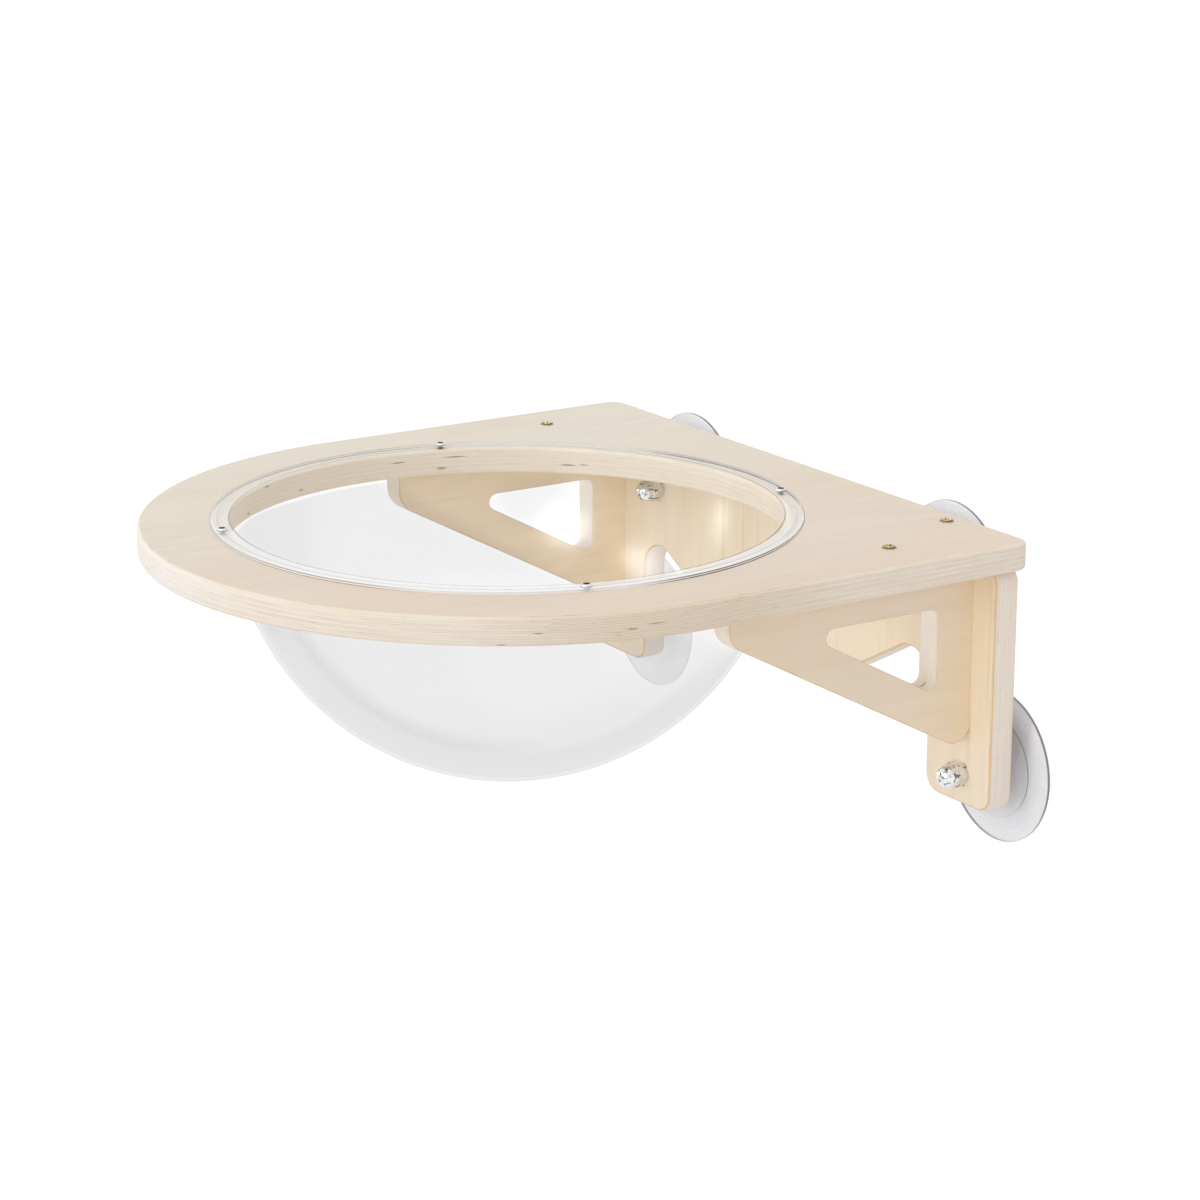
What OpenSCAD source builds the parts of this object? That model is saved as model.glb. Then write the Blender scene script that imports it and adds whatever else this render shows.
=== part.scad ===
// Window bed for a cat: a clear bowl let into a D-shaped plywood board, carried by two brackets
// and a back panel, and held to a window by four suction cups.
// +X is to the right for someone who faces the window, +Y points at the window, +Z is up.
// The origin lies on the window's face, midway between the four cups.

/* [Plywood] */
// Thickness of the board, the brackets and the back panel
ply = 15; // [12:1:18]

/* [Board] */
// Width of the board, whose front is a half circle of this diameter
board_w = 400; // [360:5:440]
// Width of the wood between the hole and the board's outer edge
rim_w = 48; // [46:1:70]
// Width of the wood between the hole and the board's straight back edge
back_w = 50.5; // [40:0.5:80]
// Radius of the two back corners
board_corner_r = 10; // [5:1:20]

/* [Bowl] */
// Thickness of the clear sheet that the bowl is formed from
sheet = 2; // [2:0.25:4]
// Width of the flange that lies on the wood outside the hole
flange_over = 9; // [6:0.5:10]
// Depth of the bowl below the top of the board
bowl_depth = 145; // [100:1:148]
// Gap between the bowl and the wall of its hole
bowl_gap = 1; // [0.5:0.25:2]
// Radius of the flange's lip where the bowl turns down
lip_r = 1.5; // [0.5:0.25:1.75]

/* [Bowl screws] */
// Diameter of the small screws through the flange
bowl_screw_d = 3; // [2:0.25:3.5]
// Length of these screws under their heads
bowl_screw_len = 12; // [8:0.5:13.5]
// Diameter of their round heads
bowl_screw_head_d = 6; // [4:0.25:6.5]
// Height of their round heads
bowl_screw_head_h = 2; // [1:0.25:2.5]
// Angle of the first screw around the bowl, from +X
bowl_screw_angle = -17; // [-40:1:40]

/* [Back panel] */
// Distance from each end of the panel to the board's side
panel_inset = 6; // [2:1:12]
// Distance from the panel's back face to the board's back edge
panel_setback = 4.5; // [0.5:0.5:6]
// Height from the feet of the panel's legs to the top of the board
overall_h = 151; // [140:1:170]
// Width of each leg
leg_w = 55; // [50:1:65]
// Radius of the corners at the feet
foot_r = 10; // [4:1:14]
// Radius of the panel's two top corners
shoulder_r = 8; // [3:1:12]
// Height of the panel's middle part, between the legs
centre_h = 85; // [75:1:95]
// Depth of the notch's crown beside each leg, from the board's underside
notch_drop = 59; // [50:1:66]
// Radius of the notch's crown
notch_r = 17; // [8:1:20]
// Slope of the edge from the notch down to the middle
notch_angle = 29; // [25:1:35]

/* [Brackets] */
// Distance from a bracket's outer face to the end of the panel
bracket_inset = 18.5; // [10:0.5:19]
// Length of a bracket along the board's underside
bracket_len = 159; // [140:1:180]
// Height of its front edge
nose_h = 19.5; // [12:0.5:28]
// Gap between the foot of its rear edge and the lower cap nut
heel_gap = 6; // [3:0.5:12]
// Radius at the foot of the front edge
nose_r = 15; // [5:1:18]
// Radius at the foot of the rear edge
heel_r = 10; // [4:1:14]
// Width of wood above the bracket's window
rail_top = 21; // [18:1:26]
// Width of wood below the window, along the sloping edge
rail_slope = 21; // [16:1:26]
// Width of wood behind the window
rail_heel = 24; // [18:1:32]
// Radius of the window's corners
window_r = 5; // [2:0.5:7]

/* [Wood screws] */
// Diameter of the wood screws
wood_screw_d = 4; // [3:0.25:5]
// Length of the wood screws from the wood's face
wood_screw_len = 30; // [24:1:32]
// Diameter of their countersunk heads
wood_screw_head_d = 8; // [6.5:0.25:9]
// Height that their heads stand above the wood
wood_screw_proud = 0.6; // [0.2:0.1:1]
// Distance from the panel's front to the screw on top of a bracket
top_screw_back = 52; // [30:1:90]
// Distance from the panel's end to the screw on top of the panel
panel_screw_in = 52.5; // [30:0.5:120]
// Depth of the upper rear screw below the board's underside
rear_screw_upper = 35; // [25:1:45]
// Height of the lower rear screw above the foot of the bracket's rear edge
rear_screw_rise = 25.5; // [20:0.5:40]

/* [Suction cups] */
// Outer diameter of a cup
cup_d = 86; // [70:1:90]
// Distance from the window to the panel's back face
cup_h = 12; // [11:0.5:16]
// Thickness of the cup's lip at its edge
cup_lip = 1.6; // [1:0.2:2.4]
// Diameter of the fine step where the lip meets the dome
cup_step_d = 57; // [48:1:62]
// Height of that step
cup_step_h = 0.7; // [0.3:0.1:1]
// Diameter of the hub that bears on the panel
hub_d = 26; // [20:1:32]
// Depth of the hollow on the window side
dish_depth = 2.6; // [1.6:0.2:3]
// Width of the flat ring that lies on the window
cup_seat_w = 8; // [5:0.5:12]
// Distance from a bracket's inner face to an upper cup's axis
upper_cup_side = 35.5; // [20:0.5:50]
// Depth of an upper cup's axis below the board's underside
upper_cup_drop = 23; // [18:1:30]
// Distance from the panel's end to a lower cup's axis
lower_cup_in = 25; // [18:1:30]
// Height of a lower cup's axis above the foot of its leg
lower_cup_rise = 17; // [13:1:19]
// Least gap between the rims of the two cups on one side
rim_gap = 10; // [5:1:16]

/* [Studs and cap nuts] */
// Thread diameter of the studs
stud_d = 8; // [6:0.5:8.5]
// Diameter of the head moulded into the cup
stud_head_d = 14; // [11:0.5:16]
// Height of that head
stud_head_h = 5; // [3:0.25:5.5]
// Gap between a stud and its hole in the panel
stud_gap = 0.25; // [0.1:0.05:0.5]
// Gap between a stud's thread and the nut that runs on it
thread_gap = 0.05; // [0.02:0.01:0.1]
// Length of stud inside the nut when it is tight
thread_grip = 10; // [6:0.5:10.5]
// Width of the cap nut across its flats
nut_flats = 13; // [11:0.5:16]
// Height of the cap nut
nut_h = 15; // [13.5:0.5:18]
// Height of its hexagon
nut_hex_h = 6.5; // [5:0.5:8]
// Diameter of its dome
nut_dome_d = 12.5; // [11:0.25:13]
// Depth of the nut's blind thread
nut_bore_depth = 11; // [11:0.25:12]

/* [Hidden] */
$fn = 96;
SIDES = [["left", -1], ["right", 1]];
LEVELS = ["upper", "lower"];

// How far a cutting shape runs past the face that it cuts
overrun = 2;
// Radial gap between a wood screw and its hole
screw_gap = 0.05;
// Gap between a stud's moulded head and the cup around it
mould_gap = 0.02;
// Number of steps along a curved stretch of a turned profile
arc_steps = 24;

// Heights, down from the board's top to the feet
board_top_z = (ply + upper_cup_drop + overall_h - lower_cup_rise) / 2;
under_z = board_top_z - ply;
foot_z = board_top_z - overall_h;

// Depths, out from the window
panel_back_y = -cup_h;
panel_front_y = panel_back_y - ply;
board_back_y = panel_back_y + panel_setback;
hole_r = board_w / 2 - rim_w;
hole_y = board_back_y - back_w - hole_r;

// Widths, from the middle outwards; the cups on one side keep apart if the legs are short
panel_half = board_w / 2 - panel_inset;
bracket_x = panel_half - bracket_inset - ply / 2;
cup_z = [under_z - upper_cup_drop, foot_z + lower_cup_rise];
cup_apart = sqrt(max(0, pow(cup_d + rim_gap, 2) - pow(cup_z[0] - cup_z[1], 2)));
lower_cup_x = panel_half - lower_cup_in;
cup_x = [min(bracket_x - ply / 2 - upper_cup_side, lower_cup_x - cup_apart), lower_cup_x];

// Height of a bracket's rear edge, which stops short of the lower cap nut
nut_corner_r = nut_flats / 2 / cos(30);
heel_h = under_z - cup_z[1] - nut_corner_r - heel_gap;

// The bowl is a spherical cap that meets the board's top at neck_r and is bowl_depth deep
neck_r = hole_r - bowl_gap;
bowl_r = (neck_r * neck_r + bowl_depth * bowl_depth) / (2 * bowl_depth);
bowl_centre_h = bowl_r - bowl_depth;
flange_r = hole_r + flange_over;
bowl_screw_ring_r = hole_r + flange_over / 2;

// Countersunk head: a cone of right angle from the head's diameter to the shank's
wood_screw_sink = (wood_screw_head_d - wood_screw_d) / 2;
// Driver recess, as shares of the head's diameter, and how far a screw narrows to its tip
recess_arm_share = 0.62;
recess_width_share = 0.13;
screw_tip_share = 0.9;

// How the cup's front rises: the lip's share of the height, and that of the hub's straight wall
cup_slope_share = 0.14;
hub_height_share = 0.3;
// Thickness of the cup over its stud's head
stud_cover = (cup_h - dish_depth - stud_head_h) / 2;

// Corner helpers for outlines with straight edges and rounded convex corners
function unit(v) = v / norm(v);
function corner_half(a, b, c) = acos(unit(a - b) * unit(c - b)) / 2;
function tangent_points(a, b, c, r) = let (reach = r / tan(corner_half(a, b, c)))
    [b + unit(a - b) * reach, b + unit(c - b) * reach];
function corner_centre(a, b, c, r) =
    b + unit(unit(a - b) + unit(c - b)) * r / sin(corner_half(a, b, c));
// Points of an arc about a centre, from one angle to another
function arc(centre, r, from, to, steps = arc_steps) =
    [for (i = [0:steps]) let (a = from + (to - from) * i / steps) centre + r * [cos(a), sin(a)]];

// Convex outline whose corner i has the radius radii[i]; zero keeps it sharp. Each round corner is
// the sector of a circle between its two tangent points, cut out by a kite twice as large
module rounded_outline(corners, radii) {
    n = len(corners);
    ring = [for (i = [0:n - 1]) [corners[(i + n - 1) % n], corners[i], corners[(i + 1) % n]]];
    polygon([for (i = [0:n - 1]) each (radii[i] > 0
        ? tangent_points(ring[i][0], ring[i][1], ring[i][2], radii[i])
        : [corners[i]])]);
    for (i = [0:n - 1]) if (radii[i] > 0) {
        centre = corner_centre(ring[i][0], ring[i][1], ring[i][2], radii[i]);
        ends = tangent_points(ring[i][0], ring[i][1], ring[i][2], radii[i]);
        intersection() {
            translate(centre) circle(radii[i]);
            polygon([for (p = [centre, ends[0], ring[i][1], ends[1]]) 2 * p - centre]);
        }
    }
}

// Wood screw with its head on z = 0 and its point down; grow widens it to cut its own hole
module wood_screw(grow = 0) {
    head_r = wood_screw_head_d / 2 + grow;
    shank_r = wood_screw_d / 2 + grow;
    point_h = wood_screw_d;
    difference() {
        union() {
            translate([0, 0, -wood_screw_sink])
                cylinder(h = wood_screw_sink, r1 = shank_r, r2 = head_r);
            cylinder(h = wood_screw_proud, r1 = head_r, r2 = head_r - wood_screw_proud);
            translate([0, 0, point_h - wood_screw_len])
                cylinder(h = wood_screw_len - point_h - wood_screw_sink, r = shank_r);
            if (grow == 0)
                translate([0, 0, -wood_screw_len])
                    cylinder(h = point_h, r1 = shank_r * (1 - screw_tip_share), r2 = shank_r);
            else
                translate([0, 0, -wood_screw_len - grow])
                    cylinder(h = point_h + grow, r = shank_r);
        }
        if (grow == 0) cross_recess(wood_screw_head_d, wood_screw_proud, wood_screw_sink);
    }
}

// Cross-shaped driver recess in a head of diameter d whose top is at height top
module cross_recess(d, top, depth) {
    for (turn = [0, 90]) rotate(turn)
        translate([-d * recess_arm_share / 2, -d * recess_width_share / 2, top - depth])
            cube([d * recess_arm_share, d * recess_width_share, depth + overrun]);
}

// Places of the wood screws: on top of the board they point down, at the back they point forward
module at_bracket_top(side) {
    translate([side * bracket_x, panel_front_y - top_screw_back, board_top_z]) children();
}
module at_panel_top() {
    translate([panel_half - panel_screw_in, panel_back_y - ply / 2, board_top_z]) children();
}
module at_bracket_rear(side, level) {
    drop = level == "upper" ? rear_screw_upper : heel_h - rear_screw_rise;
    translate([side * bracket_x, panel_back_y, under_z - drop]) rotate([-90, 0, 0]) children();
}
// Place of a cup: its axis is turned so that local +Z runs from the window out into the room
module at_cup(side, level) {
    row = level == "upper" ? 0 : 1;
    translate([side * cup_x[row], 0, cup_z[row]]) rotate([90, 0, 0]) children();
}
module at_bowl_screw(i) {
    translate([0, hole_y, board_top_z]) rotate(bowl_screw_angle + 90 * i)
        translate([bowl_screw_ring_r, 0, 0]) children();
}

// D-shaped board: a half circle in front, a rounded rectangle behind, and the bowl's hole
module platform_board() {
    color("burlywood") difference() {
        translate([0, hole_y, under_z]) linear_extrude(ply) difference() {
            back = board_back_y - hole_y;
            union() {
                circle(board_w / 2);
                rounded_outline(
                    [[-board_w / 2, 0], [board_w / 2, 0], [board_w / 2, back], [-board_w / 2, back]],
                    [0, 0, board_corner_r, board_corner_r]);
            }
            circle(hole_r);
        }
        for (i = [0:3]) at_bowl_screw(i)
            translate([0, 0, sheet - bowl_screw_len - screw_gap])
                cylinder(h = bowl_screw_len + overrun, r = bowl_screw_d / 2 + screw_gap);
        for (s = SIDES) at_bracket_top(s[1]) wood_screw(screw_gap);
        at_panel_top() wood_screw(screw_gap);
    }
}

// Clear bowl in one piece with its flange, turned from its wall's profile
module acrylic_bowl() {
    centre = [0, bowl_centre_h];
    inner_r = bowl_r - sheet;
    inner_top = asin((sheet - lip_r - bowl_centre_h) / inner_r);
    lip_x = inner_r * cos(inner_top) + lip_r;
    outer_top = asin(-bowl_centre_h / bowl_r);
    profile = concat(
        [[flange_r, 0], [flange_r, sheet]],
        arc([lip_x, sheet - lip_r], lip_r, 90, 180, arc_steps / 3),
        arc(centre, inner_r, inner_top, -90),
        arc(centre, bowl_r, -90, outer_top)
    );
    color([0.85, 0.9, 0.92, 0.4]) difference() {
        translate([0, hole_y, board_top_z]) rotate_extrude() polygon(profile);
        for (i = [0:3]) at_bowl_screw(i)
            translate([0, 0, -overrun])
                cylinder(h = sheet + 2 * overrun, r = bowl_screw_d / 2 + screw_gap);
    }
}

// Brass-coloured wood screws: board to bracket, board to panel, and panel to bracket
module bracket_top_screw(side) {
    color("goldenrod") at_bracket_top(side) wood_screw();
}
module panel_top_screw() {
    color("goldenrod") at_panel_top() wood_screw();
}
module bracket_rear_screw(side, level) {
    color("goldenrod") at_bracket_rear(side, level) wood_screw();
}

// Small pan-head screw: a domed head on a plain shank with a point
module bowl_screw(i) {
    head_r = bowl_screw_head_d / 2;
    dome_r = (head_r * head_r + bowl_screw_head_h * bowl_screw_head_h) / (2 * bowl_screw_head_h);
    shank_r = bowl_screw_d / 2;
    color("silver") at_bowl_screw(i) translate([0, 0, sheet]) difference() {
        union() {
            intersection() {
                translate([0, 0, bowl_screw_head_h - dome_r]) sphere(dome_r);
                cylinder(h = bowl_screw_head_h + overrun, r = head_r);
            }
            translate([0, 0, bowl_screw_d - bowl_screw_len])
                cylinder(h = bowl_screw_len - bowl_screw_d, r = shank_r);
            translate([0, 0, -bowl_screw_len])
                cylinder(h = bowl_screw_d, r1 = shank_r * (1 - screw_tip_share), r2 = shank_r);
        }
        cross_recess(bowl_screw_head_d, bowl_screw_head_h, bowl_screw_head_h / 2);
    }
}

// Bracket outline in its own plane: x runs back to the panel at zero, y up to the board at zero
module bracket_outline() {
    rise = (heel_h - nose_h) / bracket_len;
    lift = rail_slope * sqrt(1 + rise * rise);
    window_floor = lift - heel_h + rise * rail_heel;
    window_tip = (lift + rail_top - heel_h) / rise;
    difference() {
        rounded_outline(
            [[-bracket_len, 0], [-bracket_len, -nose_h], [0, -heel_h], [0, 0]],
            [0, nose_r, heel_r, 0]);
        rounded_outline(
            [[window_tip, -rail_top], [-rail_heel, window_floor], [-rail_heel, -rail_top]],
            [window_r, window_r, window_r]);
    }
}

// Plywood bracket, screwed to the board from above and to the panel from behind
module bracket(side) {
    color("tan") difference() {
        translate([side * bracket_x - ply / 2, panel_front_y, under_z])
            rotate([90, 0, 90]) linear_extrude(ply) bracket_outline();
        at_bracket_top(side) wood_screw(screw_gap);
        for (v = LEVELS) at_bracket_rear(side, v) wood_screw(screw_gap);
    }
}

// Panel outline from the front: x from the middle, y down from the board's underside at zero
module panel_outline() {
    foot = overall_h - ply;
    knee_x = panel_half - leg_w;
    crown = [knee_x - notch_r, -notch_drop - notch_r];
    slope_top = crown + notch_r * [-sin(notch_angle), cos(notch_angle)];
    slope_foot_x = slope_top[0] - (centre_h + slope_top[1]) / tan(notch_angle);
    for (s = SIDES) scale([s[1], 1]) rounded_outline(
        [[knee_x, 0], [knee_x, -foot], [panel_half, -foot], [panel_half, 0]],
        [0, foot_r, foot_r, shoulder_r]);
    difference() {
        translate([-knee_x, -centre_h]) square([2 * knee_x, centre_h]);
        for (s = SIDES) scale([s[1], 1]) {
            translate(crown) circle(notch_r);
            polygon([slope_top, crown, [knee_x + overrun, crown[1]],
                [knee_x + overrun, -centre_h - overrun],
                [slope_foot_x - overrun / tan(notch_angle), -centre_h - overrun]]);
        }
    }
}

// Back panel with its two legs, bored for the studs and for the screws
module back_panel() {
    color("wheat") difference() {
        translate([0, panel_back_y, under_z]) rotate([90, 0, 0]) linear_extrude(ply) panel_outline();
        for (s = SIDES, v = LEVELS) at_cup(s[1], v)
            translate([0, 0, cup_h - overrun])
                cylinder(h = ply + 2 * overrun, r = stud_d / 2 + stud_gap);
        for (s = SIDES, v = LEVELS) at_bracket_rear(s[1], v) wood_screw(screw_gap);
        at_panel_top() wood_screw(screw_gap);
    }
}

// Soft cup, turned from its profile: the window is at height zero, the panel at cup_h
module suction_cup(side, level) {
    lip_r_outer = cup_d / 2;
    step_r = cup_step_d / 2;
    hub_r = hub_d / 2;
    seat_r = lip_r_outer - cup_seat_w;
    step_foot = cup_lip + (cup_h - cup_lip) * cup_slope_share;
    step_top = step_foot + cup_step_h;
    hub_foot = cup_h - (cup_h - step_top) * hub_height_share;
    bore_r = stud_d / 2 + mould_gap;
    pocket_r = stud_head_d / 2 + mould_gap;
    pocket_top = cup_h - stud_cover;
    pocket_floor = pocket_top - stud_head_h - mould_gap;
    dome = [for (i = [0:arc_steps]) let (t = i / arc_steps)
        [step_r + (hub_r - step_r) * t, step_top + (hub_foot - step_top) * (1 - cos(180 * t)) / 2]];
    hollow = [for (i = [0:arc_steps]) let (t = i / arc_steps)
        [seat_r * t, dish_depth * cos(90 * t)]];
    profile = concat(
        [[0, pocket_floor]], hollow,
        [[lip_r_outer, 0], [lip_r_outer, cup_lip], [step_r, step_foot]], dome,
        [[hub_r, cup_h], [bore_r, cup_h], [bore_r, pocket_top + mould_gap],
         [pocket_r, pocket_top + mould_gap], [pocket_r, pocket_floor]]
    );
    color([0.82, 0.82, 0.86, 0.6]) at_cup(side, level) rotate_extrude() polygon(profile);
}

// Threaded stud: a round head in the cup and a plain shank out through the panel
module cup_stud(side, level) {
    head_top = cup_h - stud_cover;
    end_h = cup_h + ply + thread_grip;
    bevel = stud_d / 10;
    color("gray") at_cup(side, level) {
        translate([0, 0, head_top - stud_head_h]) cylinder(h = stud_head_h, r = stud_head_d / 2);
        translate([0, 0, head_top]) cylinder(h = end_h - bevel - head_top, r = stud_d / 2);
        translate([0, 0, end_h - bevel]) cylinder(h = bevel, r1 = stud_d / 2, r2 = stud_d / 2 - bevel);
    }
}

// Cap nut: a bevelled hexagon, a domed cap and a blind bore that runs on the stud
module cap_nut(side, level) {
    dome_r = nut_dome_d / 2;
    bore_r = stud_d / 2 + thread_gap;
    color("lightgray") at_cup(side, level) translate([0, 0, cup_h + ply]) difference() {
        union() {
            intersection() {
                rotate(30) cylinder(h = nut_hex_h, r = nut_corner_r, $fn = 6);
                union() {
                    bevel = nut_corner_r - nut_flats / 2;
                    translate([0, 0, nut_hex_h - bevel])
                        cylinder(h = bevel, r1 = nut_corner_r + bevel, r2 = nut_flats / 2);
                    cylinder(h = nut_hex_h - bevel, r = nut_corner_r + overrun);
                }
            }
            cylinder(h = nut_h - dome_r, r = dome_r);
            translate([0, 0, nut_h - dome_r]) sphere(dome_r);
        }
        translate([0, 0, -overrun]) cylinder(h = nut_bore_depth + overrun, r = bore_r);
    }
}

platform_board();
acrylic_bowl();
for (i = [0:3])
    bowl_screw(i);
for (s = SIDES)
    bracket(s[1]);
back_panel();
for (s = SIDES)
    bracket_top_screw(s[1]);
panel_top_screw();
for (s = SIDES, v = LEVELS) {
    bracket_rear_screw(s[1], v);
    suction_cup(s[1], v);
    cup_stud(s[1], v);
    cap_nut(s[1], v);
}
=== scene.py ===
import functools
import math

import bpy
import numpy as np
from mathutils import Matrix, Vector
from mathutils.geometry import tessellate_polygon


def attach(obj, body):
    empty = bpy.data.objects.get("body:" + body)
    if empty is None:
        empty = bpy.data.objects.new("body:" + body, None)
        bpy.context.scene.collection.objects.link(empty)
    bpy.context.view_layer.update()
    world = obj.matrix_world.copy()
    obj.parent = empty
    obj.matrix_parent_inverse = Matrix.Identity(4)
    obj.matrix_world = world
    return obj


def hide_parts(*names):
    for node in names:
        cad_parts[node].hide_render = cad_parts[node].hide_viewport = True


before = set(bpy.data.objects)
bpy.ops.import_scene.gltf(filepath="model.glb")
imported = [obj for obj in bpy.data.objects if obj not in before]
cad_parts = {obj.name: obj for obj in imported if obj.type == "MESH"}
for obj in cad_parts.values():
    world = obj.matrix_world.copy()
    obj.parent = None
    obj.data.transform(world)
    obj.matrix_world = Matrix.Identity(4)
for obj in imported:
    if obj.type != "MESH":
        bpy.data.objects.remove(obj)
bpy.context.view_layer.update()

# The platform board: a D of birch plywood, sawn out with a round hole for the bowl. Its faces
# are rotary-cut veneer sanded smooth, and its edges show the plies and have been eased by hand.

PLY, PLIES = 0.015, 11.0
BOARD_TOP, BOARD_UNDER = 0.086, 0.071
BOARD_CENTRE = np.array([0.0, -0.210])
BOARD_HALF, BOARD_BACK = 0.200, -0.0075
BACK_CORNER = 0.010
HOLE_R = 0.152
EASED = 0.0019
TOP_SCREWS = {"bracket_top_screw_left": (-0.168, -0.079), "bracket_top_screw_right": (0.168, -0.079),
              "panel_top_screw": (0.1415, -0.0195)}
TOP_SCREW_SHADOW_R = 0.0037


class Wire:
    """A shader socket that plain arithmetic works on: every operation adds its Math node."""

    def __init__(self, finish, socket):
        self.finish, self.socket = finish, socket

    def _math(self, operation, *values):
        return self.finish.add("Math", {"operation": operation}, dict(enumerate(values)))

    def __add__(self, other):
        return self._math("ADD", self, other)

    __radd__ = __add__

    def __sub__(self, other):
        return self._math("SUBTRACT", self, other)

    def __rsub__(self, other):
        return self._math("SUBTRACT", other, self)

    def __mul__(self, other):
        return self._math("MULTIPLY", self, other)

    __rmul__ = __mul__

    def __truediv__(self, other):
        return self._math("DIVIDE", self, other)

    def __rtruediv__(self, other):
        return self._math("DIVIDE", other, self)

    def __pow__(self, other):
        return self._math("POWER", self, other)

    def __rpow__(self, other):
        return self._math("POWER", other, self)

    def most(self, other):
        return self._math("MAXIMUM", self, other)

    def floor(self):
        return self._math("FLOOR", self)

    def fract(self):
        return self._math("FRACT", self)

    def size(self):
        return self._math("ABSOLUTE", self)

    def ramp(self, low, high):
        """0 below low and 1 above high, and the other way round where low is the larger."""
        return self.finish.add("MapRange", {"interpolation_type": "SMOOTHSTEP", "clamp": True},
                               {0: self, 1: low, 2: high, 3: 0.0, 4: 1.0})


class Finish:
    """The nodes of one material, or of the world. add() places any node: its type, its settings,
    and the values or links of its sockets."""

    def __init__(self, name, owner=None):
        self.owner = owner or bpy.data.materials.new(name)
        self.owner.use_nodes = True
        self.tree = self.owner.node_tree
        self.tree.nodes.clear()

    def add(self, kind, settings=None, sockets=None, output=0):
        node = self.tree.nodes.new("ShaderNode" + kind)
        for name, value in (settings or {}).items():
            setattr(node, name, value)
        for name, value in (sockets or {}).items():
            if isinstance(value, Wire):
                self.tree.links.new(value.socket, node.inputs[name])
            else:
                node.inputs[name].default_value = value
        return None if output is None else Wire(self, node.outputs[output])

    def place(self):
        """The three Object coordinates, in metres in the row frame."""
        split = self.add("SeparateXYZ", None, {0: self.add("TexCoord", None, None, "Object")})
        return [Wire(self, socket) for socket in split.socket.node.outputs]

    def facing(self):
        """The three parts of the surface's normal."""
        split = self.add("SeparateXYZ", None, {0: self.add("NewGeometry", None, None, "Normal")})
        return [Wire(self, socket) for socket in split.socket.node.outputs]

    def point(self, x, y, z):
        return self.add("CombineXYZ", None, {0: x, 1: y, 2: z})

    def length(self, x, y, z):
        """The distance from the origin of the point x, y, z."""
        return self.add("VectorMath", {"operation": "LENGTH"}, {0: self.point(x, y, z)}, "Value")

    def cloud(self, x, y, z, detail=2.0, rough=0.5, warp=0.0):
        """Noise from 0 to 1, mostly near a half, of a point whose parts are already scaled."""
        return self.add("TexNoise", None, {"Vector": self.point(x, y, z), "Scale": 1.0,
                                           "Detail": detail, "Roughness": rough, "Distortion": warp})

    def blend(self, share, one, other):
        """A colour between two, by a share from 0 to 1."""
        def full(colour):
            return colour if isinstance(colour, Wire) else (*colour, 1.0)
        return self.add("Mix", {"data_type": "RGBA"}, {0: share, 6: full(one), 7: full(other)}, 2)

    def tint(self, colour, share):
        """A colour times a number."""
        grey = self.add("CombineColor", None, {0: share, 1: share, 2: share})
        product = {"data_type": "RGBA", "blend_type": "MULTIPLY"}
        return self.add("Mix", product, {0: 1.0, 6: colour, 7: grey}, 2)

    def bump(self, height, distance, strength):
        return self.add("Bump", None, {"Height": height, "Distance": distance, "Strength": strength})

    def surface(self, shader, kind="OutputMaterial"):
        self.add(kind, None, {"Surface": shader}, None)
        return self.owner


def srgb(red, green, blue):
    """A colour given in screen values from 0 to 255, as light."""
    values = np.array([red, green, blue]) / 255
    return tuple(np.where(values <= 0.04045, values / 12.92, ((values + 0.055) / 1.055) ** 2.4))


def veneer(name, along, across, seed, warm, cool, lean, stripes=0.0, flecks=1.0, screws=()):
    """Sanded rotary-cut birch: broad soft figure and fine streaks that run along one axis, clouds
    between a warm and a cool tone, short fine pores, and a painted shadow ring round each screw.
    lean is (axis, from, to), a slow drift to the cool tone, stripes and flecks weigh its broad
    streaks and its dark flecks, and each screw is (x, y, radius), the radius of its shadow ring."""
    wood = Finish(name)
    place = wood.place()
    length, width = place[along], place[across]
    cloud = wood.cloud(length * 5.0, width * 9.0, seed, 3.0)
    height = wood.cloud(length * 3.0 + seed, width * 16.0, 0.0, 2.0, 0.45, 0.6)
    figure = ((height * 9.0).fract() - 0.5).size() * 2.0
    broad = wood.cloud(length * 4.0, width * 150.0, seed + 1.0, 3.0, 0.6)
    streak = wood.cloud(length * 14.0, width * 420.0, seed + 3.0, 3.0, 0.6)
    grain = wood.cloud(length * 130.0, width * 2300.0, seed + 5.0, 2.0, 0.6)
    pore = grain.ramp(0.66, 0.76)
    fleck_and_reflection = wood.cloud(length * 42.0, width * 560.0, seed + 9.0, 1.0).ramp(0.74, 0.82)
    drift = place[lean[0]].ramp(lean[1], lean[2])
    colour = wood.blend(cloud.ramp(0.34, 0.64) * 0.4 + drift * 0.6, warm, cool)
    if stripes:
        colour = wood.blend(broad.ramp(0.44, 0.66) * stripes, colour, srgb(246, 230, 205))
        colour = wood.blend(broad.ramp(0.46, 0.30) * stripes, colour, srgb(226, 197, 160))
    shade = 1.055 - figure * 0.03 - streak * 0.085 - pore * 0.05 * flecks - fleck_and_reflection * 0.12 * flecks
    # Painted shadow: a dark ring round each screw head.
    for x, y, radius in screws:
        away = wood.length(place[0] - x, place[1] - y, 0.0)
        shade = shade * (1.0 - (away - radius).size().ramp(0.0006, 0.0) * 0.6)
    return wood.surface(wood.add("BsdfPrincipled", None, {
        "Base Color": wood.tint(colour, shade), "Roughness": 0.56 + streak * 0.16, "IOR": 1.45,
        "Specular IOR Level": 0.3, "Normal": wood.bump(streak * 0.6 + grain * 0.5, 0.00012, 0.4)}))


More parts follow.
